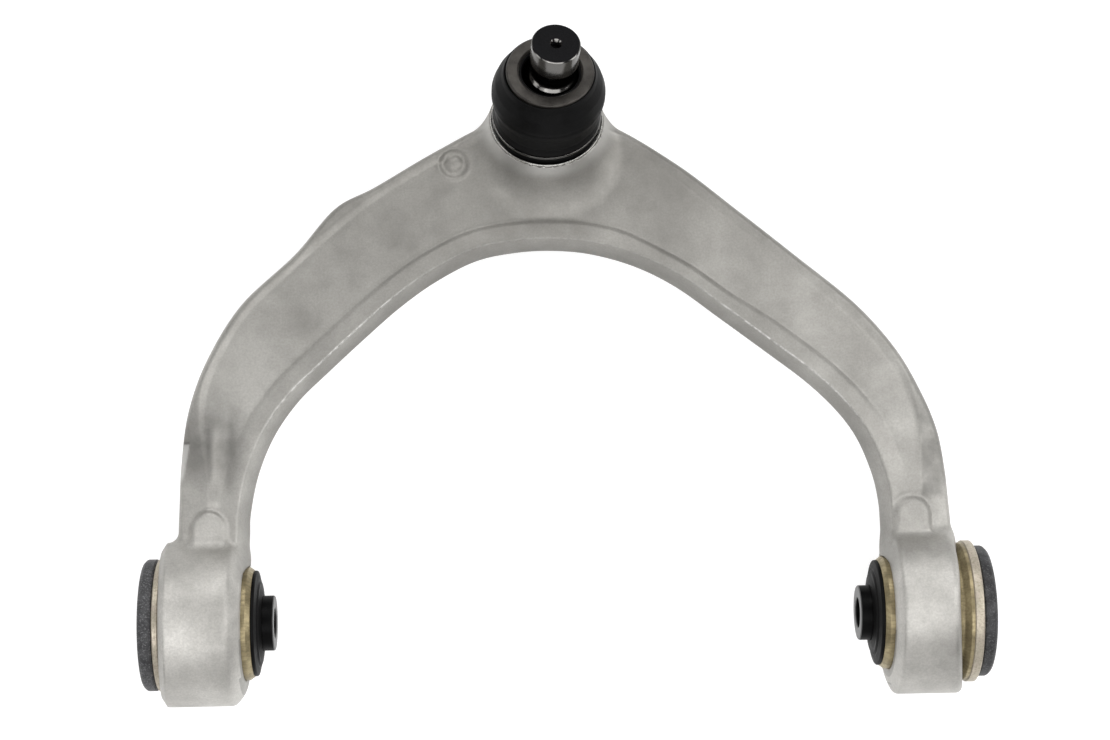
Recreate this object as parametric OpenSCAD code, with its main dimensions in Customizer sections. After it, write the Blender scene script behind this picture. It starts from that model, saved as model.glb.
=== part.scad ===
// Forged aluminium upper control arm of a car's front suspension.
// An arch joins two rubber bushes, which share one axis, to a ball joint at its top.
// The origin is on the bush axis, midway between the two bushes. +X runs along that axis,
// +Y points to the ball joint and +Z is the side that the ball stud stands on.

/* [Bushes] */
// Distance from the middle of the arm to the inboard end of an inner sleeve
sleeve_inboard = 121.5; // [115:0.5:124]
// Distance from the middle of the arm to the outboard end of an inner sleeve
sleeve_outboard = 176; // [175.8:0.1:180]
// Outer diameter of an inner sleeve
sleeve_d = 22.8; // [20:0.1:23]
// Bore of an inner sleeve, for the bracket bolt
bolt_bore_d = 12.4; // [10.4:0.1:14.4]
// Outer diameter of a pressed outer sleeve
outer_sleeve_d = 47; // [46:0.1:48]
// Wall of an outer sleeve
outer_sleeve_wall = 2.2; // [1.5:0.1:2.6]
// Diameter of the flange on the left outer sleeve
left_flange_d = 54.8; // [52:0.2:60]
// Diameter of the flange on the right outer sleeve
right_flange_d = 59; // [56:0.2:62]
// Diameter of the rubber stop ring outside the flange
stop_d = 54.4; // [50:0.2:56]

/* [Bush housings] */
// Outer diameter of a housing
housing_d = 68; // [64:0.5:70]
// Inboard face of both housings, from the middle of the arm
housing_inboard = 133.5; // [132:0.5:135]
// Outboard face of the left housing, from the middle of the arm
left_housing_outboard = 168.4; // [166:0.1:168.4]
// Outboard face of the right housing, from the middle of the arm
right_housing_outboard = 164.5; // [163:0.5:165]
// How far the left outboard face leans in from its middle to its edge
left_draft = 2.6; // [0:0.1:4]
// How far the right outboard face leans in from its middle to its edge
right_draft = 6.2; // [0:0.1:7]

/* [Arch] */
// Height of the inner rim above and below the parting plane
rim_h = 11.3; // [9:0.1:13]
// Height of the web above and below the parting plane
web_h = 8.2; // [5:0.2:9]
// Height of the outer rim above the web, as a share of the inner rim's
outer_rim_share = 0.5; // [0:0.1:1]
// Radius of the ejector mark and of the two pads beside the housings
pad_r = 6.6; // [5:0.2:7]

/* [Ball joint] */
// Lean of the joint's axis from +Z towards +Y
joint_tilt = 26; // [20:0.5:30]
// Lean of the stud towards +X, as it rests in the joint
stud_lean = 3; // [0:0.5:5]
// Lean of the boot's top ring towards +X
ring_lean = 1.5; // [0:0.5:3]
// Diameter of the ball
ball_d = 28; // [26:0.5:28]
// Outer diameter of the forged boss round the joint
boss_d = 50.4; // [50:0.2:54]
// Diameter of the stud's pin
pin_d = 20; // [18:0.2:20]
// Distance from the ball's centre to the pin's end
pin_end = 63; // [60:0.5:66]
// Length of the pin above its clamp groove
pin_head = 10.5; // [8:0.5:12]
// Largest diameter of the boot
boot_d = 47; // [44:0.2:47]

/* [Hidden] */

$fn = 96;
aluminium = "#a9a69e";
zinc_steel = "#8f8360";
dark_steel = "#5c5752";
bright_steel = "#8d8c8a";
rubber_black = "#1d1d1f";
polymer = "#d9d6cc";

ball_centre = [-5.5, 202.7, 2];
bush_bore_r = outer_sleeve_d / 2;
press_gap = 0.02;
running_gap = 0.05;
rounding_steps = 6;

// Places along the ball joint's axis, measured from the ball's centre
boss_top = 12;
boss_bottom = -17;
recess_floor = 9;
shell_top = 8;
shell_bottom = -10;
cover_top = -14.3;
cover_thickness = 2;
shell_r = 17;
cover_r = 19;
lip_angle = 60;
neck_r = 6.5;
neck_end = 16;
cone_end = 30;
groove_depth = 2.2;
pin_seat = 42.5;
ring_bottom = 42.4;
ring_top = 45.3;
ring_r = 18;
ring_hole_r = 12.65;
recess_r = 23.1;

// Places along a bush, measured from the middle of the arm
outer_sleeve_inboard = 129.8;
left_flange_seat = 166.3;
flange_outboard = 169.2;
rubber_inboard = 126.3;
rubber_lip_inboard = 128.2;
rubber_outboard = 166.5;
stop_ring_inboard = 169.5;
stop_pocket = 173.9;
stop_ring_outboard = 175.2;
stop_plate_outboard = 175.4;
stop_plate_r = 22;

// One row for each cross-section of the arch, from the left housing to the right one:
// outer edge [x, y], inner edge [x, y], rim height, web height
sections = [
  [[-161.8, 26], [-132.4, 26], 17.5, 17],
  [[-161.4, 36], [-131.7, 36], 13, 12.2],
  [[-161, 46], [-131.2, 46], rim_h, web_h + 1],
  [[-160, 66], [-127.8, 62], rim_h, web_h],
  [[-157, 88], [-121, 78], rim_h, web_h],
  [[-149, 110], [-111, 92], rim_h, web_h],
  [[-134.5, 133], [-98.5, 104], rim_h, web_h],
  [[-112, 153.8], [-82, 119], rim_h, web_h],
  [[-95, 173], [-68, 131], rim_h, web_h],
  [[-78, 182], [-53, 141.5], rim_h, web_h],
  [[-52, 197], [-36, 150], rim_h, web_h],
  [[-27, 209], [-19, 153.4], rim_h, web_h],
  [[-4, 211], [-3, 154], rim_h, web_h],
  [[20, 207.5], [13, 152.2], rim_h, web_h],
  [[49, 190.4], [31, 146.8], rim_h, web_h],
  [[74, 170.8], [48, 138], rim_h, web_h],
  [[99, 150.5], [66, 124.7], rim_h, web_h],
  [[123.8, 129.7], [86, 109.6], rim_h, web_h],
  [[140.3, 110.4], [102, 97.2], rim_h, web_h],
  [[150.5, 92], [114.5, 85], rim_h, web_h],
  [[156.7, 76], [123, 73], rim_h, web_h],
  [[159.5, 60], [129, 58], rim_h, web_h],
  [[160.7, 46], [131.4, 46], rim_h, web_h + 1],
  [[161.4, 36], [131.9, 36], 13, 12.2],
  [[162, 26], [132.4, 26], 17.5, 17]
];
steps_between = 3;

// A point on the smooth curve that runs through b and c, with a and d on either side of them
function curve(a, b, c, d, t) =
  b + 0.5 * t * (c - a)
  + t * t * (a - 2.5 * b + 2 * c - 0.5 * d)
  + t * t * t * (-0.5 * a + 1.5 * b - 1.5 * c + 0.5 * d);

last_section = len(sections) - 1;

// Column k of the section table, carried on in a straight line past both ends
function column(i, k) =
  i < 0 ? 2 * sections[0][k] - sections[1][k]
  : i > last_section ? 2 * sections[last_section][k] - sections[last_section - 1][k]
  : sections[i][k];

function smooth_column(i, k, t) =
  curve(column(i - 1, k), column(i, k), column(i + 1, k), column(i + 2, k), t);

// Half of a cross-section, as [distance in from the outer edge, height]. The outer wall leans
// in to a narrow low rim, the web is dished, and the inner rim slopes down into it.
function half_profile(width, rim, web) = let (outer_rim = web + outer_rim_share * (rim - web)) [
  [0, 0],
  [0.7, 0.4 * outer_rim],
  [1.8, 0.8 * outer_rim],
  [3.2, outer_rim],
  [4.2, outer_rim],
  [7.4, web],
  [width - 12.2, web],
  [width - 4.9, rim],
  [width - 3.9, rim - 1],
  [width - 1, 2],
  [width, 0]
];

// The whole cross-section: the upper half, then the lower half back to the outer edge
function profile(width, rim, web) =
  let (half = half_profile(width, rim, web), n = len(half))
  [
    for (p = half) p,
    for (k = [n - 2:-1:1]) [half[k][0], -half[k][1]]
  ];

function ring_of_points(i, t) =
  let (
    outer = smooth_column(i, 0, t),
    inner = smooth_column(i, 1, t),
    width = norm(inner - outer),
    across = (inner - outer) / width
  )
  [
    for (p = profile(width, smooth_column(i, 2, t), smooth_column(i, 3, t)))
      [outer[0] + p[0] * across[0], outer[1] + p[0] * across[1], p[1]]
  ];

// Two triangles for each step along the arch and each side of the cross-section
function skin(rings, sides) = [
  for (r = [0:rings - 2])
    for (s = [0:sides - 1])
      let (
        a = r * sides + s,
        b = r * sides + (s + 1) % sides,
        c = a + sides,
        d = b + sides
      )
      each [[a, d, b], [a, c, d]]
];

// A flat end, as strips between the upper and the lower half of the cross-section
function end_strip(k, sides, start) =
  let (
    a = start + k,
    b = start + k + 1,
    c = start + sides - k - 1,
    d = start + (sides - k) % sides
  )
  k == 0 ? [[a, b, c]]
  : k == sides / 2 - 1 ? [[a, b, d]]
  : [[a, b, c], [a, c, d]];

function reversed(triangle) = [triangle[2], triangle[1], triangle[0]];

function near_end(sides) = [for (k = [0:sides / 2 - 1]) each end_strip(k, sides, 0)];

function far_end(sides, start) = [
  for (k = [0:sides / 2 - 1])
    for (triangle = end_strip(k, sides, start)) reversed(triangle)
];

module arch_blade() {
  rings = [
    for (i = [0:last_section - 1])
      for (k = [0:steps_between - 1]) ring_of_points(i, k / steps_between),
    ring_of_points(last_section, 0)
  ];
  sides = len(rings[0]);
  far_start = (len(rings) - 1) * sides;
  polyhedron(
    points = [for (ring = rings) for (p = ring) p],
    faces = concat(skin(len(rings), sides), near_end(sides), far_end(sides, far_start))
  );
}

// A quarter circle of points that rounds a corner, from one angle to another
function corner(centre, r, from, to) = [
  for (k = [0:rounding_steps])
    let (a = from + (to - from) * k / rounding_steps)
    centre + r * [cos(a), sin(a)]
];

// Turns a profile drawn as [radius, distance from the middle] round the bush axis.
// side is 1 for the right bush and -1 for the left one.
module turned_on_bush(side) {
  mirror([side < 0 ? 1 : 0, 0, 0])
    rotate([0, 90, 0])
      rotate_extrude()
        children();
}

module along_bush(side, from, to, r) {
  mirror([side < 0 ? 1 : 0, 0, 0])
    translate([from, 0, 0])
      rotate([0, 90, 0])
        cylinder(h = to - from, r = r);
}

// A bush housing: its inboard rim falls away in a long curve, draft narrows it outboard and a
// bevel breaks its outboard edge
module housing(side, outboard, draft, bevel_depth, bevel_length) {
  r = housing_d / 2;
  inboard_fall = side < 0 ? 4.8 : 2.6;
  inboard_depth = 8;
  intersection() {
    turned_on_bush(side)
      polygon(concat(
        [[0, outboard], [0, housing_inboard]],
        [
          for (k = [0:rounding_steps])
            let (a = 90 * k / rounding_steps)
            [
              r - inboard_depth * (1 - sin(a)),
              housing_inboard + inboard_fall * (1 - cos(a))
            ]
        ],
        [[r, outboard - bevel_length], [r - bevel_depth, outboard]]
      ));
    mirror([side < 0 ? 1 : 0, 0, 0])
      rotate([90, 0, 0])
        linear_extrude(height = 3 * r, center = true)
          polygon([
            [housing_inboard - 1, -r - 1],
            [outboard - draft, -r - 1],
            [outboard, 0],
            [outboard - draft, r + 1],
            [housing_inboard - 1, r + 1]
          ]);
  }
}

// Places its children in the ball joint's own frame: origin at the ball, +Z along the axis.
// lean tips that axis towards +X.
module at_ball(lean = 0) {
  translate(ball_centre)
    rotate([-joint_tilt, 0, 0])
      rotate([0, lean, 0])
        children();
}

module from_to(from, to, r) {
  translate([0, 0, from])
    cylinder(h = to - from, r = r);
}

// The round mark that an ejector pin left on the web
module ejector_mark() {
  mark_at = [-44.5, 190.5, 0];
  mark_top = rim_h - 0.8;
  dimple_depth = 0.7;
  dimple_r = 0.65 * pad_r;
  translate(mark_at)
    difference() {
      cylinder(h = mark_top, r = pad_r);
      translate([0, 0, mark_top - dimple_depth])
        cylinder(h = dimple_depth + 1, r = dimple_r);
    }
}

// A raised pad with a round end, between the web and a housing
module housing_pad(at) {
  pad_top = 11.5;
  housing_side = 28;
  translate([at[0], at[1], 0])
    cylinder(h = pad_top, r = pad_r);
  translate([at[0] - pad_r, housing_side, 0])
    cube([2 * pad_r, at[1] - housing_side, pad_top]);
}

module joint_boss() {
  skirt_r = boss_d / 2 + 4;
  skirt_bottom = -2;
  shoulder = 6;
  top_r = boss_d / 2 - 1.2;
  at_ball() {
    from_to(boss_bottom, shoulder, boss_d / 2);
    translate([0, 0, shoulder])
      cylinder(h = boss_top - shoulder, r1 = boss_d / 2, r2 = top_r);
    translate([0, 0, skirt_bottom])
      cylinder(h = shoulder - skirt_bottom, r1 = skirt_r, r2 = boss_d / 2);
  }
}

module joint_bores() {
  opening_r = 15.6;
  rolled_lip = 1.2;
  at_ball() {
    from_to(boss_bottom - 1, cover_top, cover_r - rolled_lip);
    from_to(cover_top - cover_thickness - press_gap, cover_top, cover_r);
    from_to(cover_top - 1, shell_top, shell_r);
    from_to(shell_top - 1, recess_floor + 1, opening_r);
    from_to(recess_floor, boss_top + 1, recess_r);
  }
}

module control_arm() {
  color(aluminium)
    difference() {
      union() {
        arch_blade();
        housing(-1, left_housing_outboard, left_draft, 4.2, 2.4);
        housing(1, right_housing_outboard, right_draft, 2, 3);
        joint_boss();
        ejector_mark();
        housing_pad([-147.7, 39.4]);
        housing_pad([143.9, 40.4]);
      }
      for (side = [-1, 1])
        along_bush(side, sleeve_inboard, sleeve_outboard, bush_bore_r);
      along_bush(-1, left_flange_seat, sleeve_outboard, left_flange_d / 2 + 0.3);
      joint_bores();
    }
}

// The bearing shell holds the ball over more than half its height and opens in a cone
module bearing_shell() {
  lip_bottom = 7;
  color(polymer)
    at_ball()
      difference() {
        from_to(shell_bottom, shell_top - press_gap, shell_r - press_gap);
        sphere(r = ball_d / 2 + running_gap);
        translate([0, 0, lip_bottom])
          cylinder(
            h = shell_top - lip_bottom + 0.5,
            r1 = lip_bottom * tan(lip_angle),
            r2 = (shell_top + 0.5) * tan(lip_angle)
          );
      }
}

module preload_ring() {
  thickness = 3;
  hole_r = 10.6;
  color(dark_steel)
    at_ball()
      difference() {
        from_to(shell_bottom - thickness, shell_bottom - press_gap, shell_r - press_gap);
        from_to(shell_bottom - thickness - 1, shell_bottom + 1, hole_r);
      }
}

module cover_plate() {
  dimple_r = 9;
  dimple_depth = 0.6;
  bottom = cover_top - cover_thickness;
  color(dark_steel)
    at_ball()
      difference() {
        from_to(bottom, cover_top - press_gap, cover_r - press_gap);
        from_to(bottom - 1, bottom + dimple_depth, dimple_r);
      }
}

// The flat spring ring that holds the boot down in the recess
module boot_lower_clip() {
  clip_r = 22.9;
  clip_bottom = 14.2;
  clip_top = 15.8;
  color(bright_steel)
    at_ball()
      difference() {
        from_to(clip_bottom, clip_top, clip_r);
        from_to(clip_bottom - 1, clip_top + 1, boot_d / 2 - 1.38);
      }
}

// The boot is a hollow rubber bellows: a straight foot, a waist, one full bulge and a
// rounded shoulder that closes in under the steel ring
module boot() {
  wall = 2.4;
  foot_r = boot_d / 2 - 1.4;
  bulge_r = boot_d / 2;
  foot_bottom = 9.1;
  bulge_at = 30.5;
  waist_at = 22;
  shoulder_r = 10;
  top = 41.6;
  top_r = ring_r - 0.6;
  neck_hole_r = 13.2;
  color(rubber_black)
    at_ball()
      rotate_extrude()
        polygon(concat(
          [
            [foot_r - 3.4, foot_bottom],
            [foot_r, foot_bottom],
            [foot_r, 17],
            [foot_r - 0.4, waist_at],
            [foot_r + 0.2, waist_at + 3]
          ],
          corner([bulge_r - shoulder_r, bulge_at], shoulder_r, -20, 75),
          [
            [top_r - 2.6, top],
            [neck_hole_r, top],
            [neck_hole_r, top - wall]
          ],
          corner([bulge_r - shoulder_r, bulge_at], shoulder_r - wall, 75, -20),
          [
            [foot_r - 0.4 - wall, waist_at],
            [foot_r - 3.4, 17]
          ]
        ));
}

module boot_ring() {
  bevel = 0.4;
  color(dark_steel)
    at_ball(ring_lean)
      rotate_extrude()
        polygon([
          [ring_hole_r, ring_bottom],
          [ring_r, ring_bottom],
          [ring_r, ring_top - bevel],
          [ring_r - bevel, ring_top],
          [ring_hole_r, ring_top]
        ]);
}

// The rubber lip inside the steel ring, which wipes the stud
module boot_seal() {
  lip_r = pin_d / 2 + 1.6;
  color(rubber_black)
    at_ball(ring_lean)
      difference() {
        from_to(ring_bottom + 0.2, ring_top - 0.8, ring_hole_r - press_gap);
        from_to(ring_bottom - 1, ring_top + 1, lip_r);
      }
}

// Ball, neck, cone, seat, clamp groove and pin head, all round the leaning axis
module ball_stud() {
  pin_r = pin_d / 2;
  head_bottom = pin_end - pin_head;
  groove_mid = (pin_seat + head_bottom) / 2;
  groove_half = (head_bottom - pin_seat) / 2;
  groove_arc_r = (groove_half * groove_half + groove_depth * groove_depth) / (2 * groove_depth);
  groove_angle = asin(groove_half / groove_arc_r);
  groove_centre = [pin_r - groove_depth + groove_arc_r, groove_mid];
  groove_steps = 12;
  bevel = 0.5;
  drill_r = 1.6;
  drill_depth = 4;
  color(bright_steel)
    at_ball(stud_lean)
      difference() {
        union() {
          sphere(r = ball_d / 2);
          rotate_extrude()
            polygon(concat(
              [[0, 0], [neck_r, 0], [neck_r, neck_end], [pin_r, cone_end], [pin_r, pin_seat]],
              [
                for (k = [1:groove_steps - 1])
                  let (a = 180 + groove_angle - 2 * groove_angle * k / groove_steps)
                  groove_centre + groove_arc_r * [cos(a), sin(a)]
              ],
              [
                [pin_r, head_bottom],
                [pin_r, pin_end - bevel],
                [pin_r - bevel, pin_end],
                [0, pin_end]
              ]
            ));
        }
        from_to(pin_end - drill_depth, pin_end + 1, drill_r);
      }
}

// The pressed outer sleeve: a thin tube with a flange. The left flange lies in a spot face in
// the housing and the right one lies on the middle of the leaning outboard face.
module outer_sleeve(side, flange_seat, flange_d) {
  r = outer_sleeve_d / 2 - press_gap;
  flange_r = flange_d / 2;
  rim_round = 0.6;
  inner_r = outer_sleeve_d / 2 - outer_sleeve_wall;
  end_bevel = 1.6;
  end_bevel_length = 2;
  seat = flange_seat + press_gap;
  color(zinc_steel)
    turned_on_bush(side)
      polygon(concat(
        [[inner_r, outer_sleeve_inboard], [r - end_bevel, outer_sleeve_inboard]],
        [[r, outer_sleeve_inboard + end_bevel_length], [r, seat]],
        corner([flange_r - rim_round, seat + rim_round], rim_round, -90, 0),
        corner([flange_r - rim_round, flange_outboard - rim_round], rim_round, 0, 90),
        [[inner_r, flange_outboard]]
      ));
}

// The rubber ring between the sleeves, with a rounded lip past the outer sleeve
module bush_rubber(side) {
  r = outer_sleeve_d / 2 - outer_sleeve_wall - press_gap;
  lip_r = r + 0.6;
  bore_r = sleeve_d / 2 + running_gap;
  lip_round = 1.4;
  lip_outboard = outer_sleeve_inboard - press_gap;
  color(rubber_black)
    turned_on_bush(side)
      polygon(concat(
        [[bore_r, rubber_outboard], [bore_r, rubber_inboard], [bore_r + 2, rubber_inboard]],
        [[lip_r - lip_round - 2, rubber_lip_inboard]],
        corner([lip_r - lip_round, rubber_lip_inboard + lip_round], lip_round, -90, 0),
        [[lip_r, lip_outboard], [r, lip_outboard], [r, rubber_outboard]]
      ));
}

module inner_sleeve(side) {
  bevel = 0.4;
  r = sleeve_d / 2;
  bore_r = bolt_bore_d / 2;
  color(rubber_black)
    difference() {
      turned_on_bush(side)
        polygon([
          [bore_r - 1, sleeve_inboard],
          [r - bevel, sleeve_inboard],
          [r, sleeve_inboard + bevel],
          [r, sleeve_outboard - bevel],
          [r - bevel, sleeve_outboard],
          [bore_r - 1, sleeve_outboard]
        ]);
      along_bush(side, sleeve_inboard - 1, sleeve_outboard + 1, bore_r);
    }
}

// The steel washer pressed on the sleeve's outboard end, sunk in the back of the stop ring
module stop_plate(side) {
  r = sleeve_d / 2 + press_gap;
  color(dark_steel)
    difference() {
      along_bush(side, stop_pocket + press_gap, stop_plate_outboard, stop_plate_r);
      along_bush(side, stop_pocket - 1, sleeve_outboard + 1, r);
    }
}

module stop_ring(side) {
  edge_round = 1.6;
  inner_edge_round = 0.8;
  pocket_r = stop_plate_r + press_gap;
  r = stop_d / 2;
  bore_r = sleeve_d / 2 + press_gap;
  color(rubber_black)
    turned_on_bush(side)
      polygon(concat(
        [[bore_r, stop_ring_inboard]],
        corner(
          [r - inner_edge_round, stop_ring_inboard + inner_edge_round], inner_edge_round, -90, 0
        ),
        corner([r - edge_round, stop_ring_outboard - edge_round], edge_round, 0, 90),
        [[pocket_r, stop_ring_outboard], [pocket_r, stop_pocket], [bore_r, stop_pocket]]
      ));
}

control_arm();
bearing_shell();
preload_ring();
cover_plate();
boot_lower_clip();
outer_sleeve(-1, left_flange_seat, left_flange_d);  // left_outer_sleeve
bush_rubber(-1);  // left_bush_rubber
outer_sleeve(1, right_housing_outboard, right_flange_d);  // right_outer_sleeve
bush_rubber(1);  // right_bush_rubber
inner_sleeve(-1);  // left_inner_sleeve
stop_plate(-1);  // left_stop_plate
stop_ring(-1);  // left_stop_ring
inner_sleeve(1);  // right_inner_sleeve
stop_plate(1);  // right_stop_plate
stop_ring(1);  // right_stop_ring
boot();
boot_ring();
boot_seal();
ball_stud();
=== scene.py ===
"""The looks of a forged aluminium control arm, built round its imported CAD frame.

Shapes are worked out in millimetres and turned into metres when a mesh is made.
The origin is midway between the two bushes, +X runs along their axis, +Y points to the
ball joint and +Z is the side that the ball stud stands on.
"""

import math

import bmesh
import bpy
import numpy as np
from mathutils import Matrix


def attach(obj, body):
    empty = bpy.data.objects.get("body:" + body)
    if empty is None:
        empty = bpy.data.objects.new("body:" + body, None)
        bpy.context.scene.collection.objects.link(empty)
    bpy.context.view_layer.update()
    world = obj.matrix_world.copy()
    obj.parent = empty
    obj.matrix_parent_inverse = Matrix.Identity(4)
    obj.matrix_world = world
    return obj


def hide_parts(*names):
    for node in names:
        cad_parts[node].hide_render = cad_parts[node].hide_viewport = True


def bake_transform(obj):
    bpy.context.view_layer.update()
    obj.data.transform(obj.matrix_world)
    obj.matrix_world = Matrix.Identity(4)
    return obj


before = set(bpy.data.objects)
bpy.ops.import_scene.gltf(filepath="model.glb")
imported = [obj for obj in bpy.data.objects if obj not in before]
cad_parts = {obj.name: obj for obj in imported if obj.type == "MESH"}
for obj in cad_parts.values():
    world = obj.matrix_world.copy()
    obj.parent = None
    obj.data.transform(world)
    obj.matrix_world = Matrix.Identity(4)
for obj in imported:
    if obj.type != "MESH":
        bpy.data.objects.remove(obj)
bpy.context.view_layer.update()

import openvdb
from mathutils import Matrix, Vector

MM = 0.001


# ---------------------------------------------------------------- the object's sizes

BALL_CENTRE = (-5.5, 202.7, 2.0)

# Lean of the joint's axis from +Z towards +Y, then of the stud and its collar towards +X
JOINT_TILT = 26.0
STUD_LEAN = 3.0
RING_LEAN = 1.5

# Places in the joint: radii about its axis, and distances along it from the ball's centre
BOSS_RADIUS = 25.1
BOSS_TOP = 11.6
BOSS_BOTTOM = -17.0
RECESS_RADIUS = 23.5
RECESS_FLOOR = 8.4
SHELL_RADIUS = 16.4
SHELL_BOTTOM = -14.3
COVER_RADIUS = 19.6
COVER_TOP = -14.0

# Heights above the parting plane
INNER_RIM_HEIGHT = 11.2
WEB_HEIGHT = 8.2
RIGHT_LEG_HEIGHT = 10.6
LEFT_LEG_HEIGHT = 9.8

# The bush housings. Inboard and outboard faces are measured from the middle of the arm,
# and draft is how far an outboard face leans in from its middle to its edge.
HOUSING_RADIUS = 34.0
HOUSING_INBOARD = 133.5
LEFT_OUTBOARD = 168.4
RIGHT_OUTBOARD = 164.5
LEFT_DRAFT = 2.6
RIGHT_DRAFT = 6.2
BUSH_BORE_RADIUS = 23.5
LEFT_FLANGE_SEAT = 166.3
SPOT_FACE_RADIUS = 27.7

# Marks on the forging, as places in plan
PAD_RADIUS = 6.6
LEFT_PAD = (-147.7, 39.4)
RIGHT_PAD = (143.9, 40.4)
PAD_TOP = 11.5
EJECTOR_MARK = (-44.5, 190.5)

# The outer edge of the arch, from the left housing over the ball joint to the right one
OUTER_EDGE = [
    (-161.8, 20),
    (-161.4, 36),
    (-161, 46),
    (-160, 66),
    (-157, 88),
    (-149, 110),
    (-134.5, 133),
    (-112, 153.8),
    (-95, 173),
    (-78, 182),
    (-52, 197),
    (-27, 209),
    (-4, 211),
    (20, 207.5),
    (49, 190.4),
    (74, 170.8),
    (99, 150.5),
    (123.8, 129.7),
    (140.3, 110.4),
    (150.5, 92),
    (156.7, 76),
    (159.5, 60),
    (160.7, 46),
    (161.4, 36),
    (162, 20),
]

# The line that the outer rim follows: the same edge without the lobe on the left side
RIM_LINE = OUTER_EDGE[:7] + [(-116, 151), (-96, 168.5), (-76, 183.2)] + OUTER_EDGE[10:]

# The inner edge of the arch, in the same order
INNER_EDGE = [
    (-132.4, 20),
    (-131.7, 36),
    (-131.2, 46),
    (-127.8, 62),
    (-121, 78),
    (-111, 92),
    (-98.5, 104),
    (-82, 119),
    (-68, 131),
    (-53, 141.5),
    (-36, 150),
    (-19, 153.4),
    (-3, 154),
    (13, 152.2),
    (31, 146.8),
    (48, 138),
    (66, 124.7),
    (86, 109.6),
    (102, 97.2),
    (114.5, 85),
    (123, 73),
    (129, 58),
    (131.4, 46),
    (131.9, 36),
    (132.4, 20),
]


# ---------------------------------------------------------------- shape arithmetic

def smoothstep(value, low, high):
    """0 below low, 1 above high, and a soft turn between them."""
    t = np.clip((value - low) / (high - low), 0, 1)
    return t * t * (3 - 2 * t)


def within(value, low, full, fading, high):
    """1 from full to fading, 0 below low and above high, and a soft turn between them."""
    return smoothstep(value, low, full) * (1 - smoothstep(value, fading, high))


def bump(value, centre, width):
    """A bell curve that is 1 at its centre."""
    return np.exp(-(((value - centre) / width) ** 2))


def joined(d1, d2, radius):
    """The union of two solids, with a fillet of this radius where they meet."""
    u = np.maximum(radius - d1, 0)
    v = np.maximum(radius - d2, 0)
    return np.maximum(radius, np.minimum(d1, d2)) - np.sqrt(u * u + v * v)


def shared(d1, d2, radius):
    """What two solids have in common, with its edge rounded to this radius."""
    u = np.maximum(radius + d1, 0)
    v = np.maximum(radius + d2, 0)
    return np.minimum(-radius, np.maximum(d1, d2)) + np.sqrt(u * u + v * v)


def cut(d, hole, radius):
    """A solid less a hole, with the hole's edge rounded to this radius."""
    return shared(d, -hole, radius)


def smooth_line(points, steps=10):
    """Points along the smooth curve that runs through the given ones."""
    p = np.array(points, float)
    p = np.vstack([2 * p[0] - p[1], p, 2 * p[-1] - p[-2]])
    line = []
    for a, b, c, d in zip(p[:-3], p[1:-2], p[2:-1], p[3:]):
        for t in np.arange(steps) / steps:
            line.append(
                b
                + 0.5 * t * (c - a)
                + t * t * (a - 2.5 * b + 2 * c - 0.5 * d)
                + t * t * t * (-0.5 * a + 1.5 * b - 1.5 * c + 0.5 * d)
            )
    line.append(p[-2])
    return np.array(line)


def signed_distance(line, x, y):
    """Distance from each point to a line, above 0 on the line's right-hand side."""
    start = line[:-1]
    along = line[1:] - start
    length_squared = (along**2).sum(1)
    result = np.empty(len(x))
    chunk = 8000
    for first in range(0, len(x), chunk):
        last = first + chunk
        px = x[first:last, None] - start[:, 0]
        py = y[first:last, None] - start[:, 1]
        t = np.clip((px * along[:, 0] + py * along[:, 1]) / length_squared, 0, 1)
        square = (px - t * along[:, 0]) ** 2 + (py - t * along[:, 1]) ** 2
        nearest = square.argmin(1)
        rows = np.arange(len(nearest))
        turn = along[nearest, 0] * py[rows, nearest] - along[nearest, 1] * px[rows, nearest]
        result[first:last] = np.sqrt(square[rows, nearest]) * np.where(turn > 0, -1, 1)
    return result


class EdgeFields:
    """How far any point of the plan is from each edge of the arch, looked up on a grid."""

    def __init__(self, step):
        self.step = step
        self.low = np.array([-172.0, -40.0])
        self.nx = int(344 / step) + 2
        self.ny = int(280 / step) + 2
        x = self.low[0] + step * np.arange(self.nx)
        y = self.low[1] + step * np.arange(self.ny)
        gx, gy = np.meshgrid(x, y, indexing="ij")
        gx = gx.ravel()
        gy = gy.ravel()
        shape = (self.nx, self.ny)
        self.outer = signed_distance(smooth_line(OUTER_EDGE), gx, gy).reshape(shape)
        self.rim = signed_distance(smooth_line(RIM_LINE), gx, gy).reshape(shape)
        self.inner = -signed_distance(smooth_line(INNER_EDGE), gx, gy).reshape(shape)

    def look_up(self, x, y):
        """(distance in from the outer edge, from the rim line, from the inner edge)."""
        u = np.clip((x - self.low[0]) / self.step, 0, self.nx - 1.001)
        v = np.clip((y - self.low[1]) / self.step, 0, self.ny - 1.001)
        i = u.astype(int)
        j = v.astype(int)
        fu = u - i
        fv = v - j
        found = []
        for table in (self.outer, self.rim, self.inner):
            low = table[i, j] * (1 - fu) + table[i + 1, j] * fu
            high = table[i, j + 1] * (1 - fu) + table[i + 1, j + 1] * fu
            found.append(low * (1 - fv) + high * fv)
        return found


# ---------------------------------------------------------------- the forging

def right_share(x):
    """0 on the left half of the arch and 1 on the right half."""
    return smoothstep(x, -20, 20)


def leg_share(y):
    """1 on the legs and 0 on the arch's crown."""
    return 1 - smoothstep(y, 50, 104)


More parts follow.
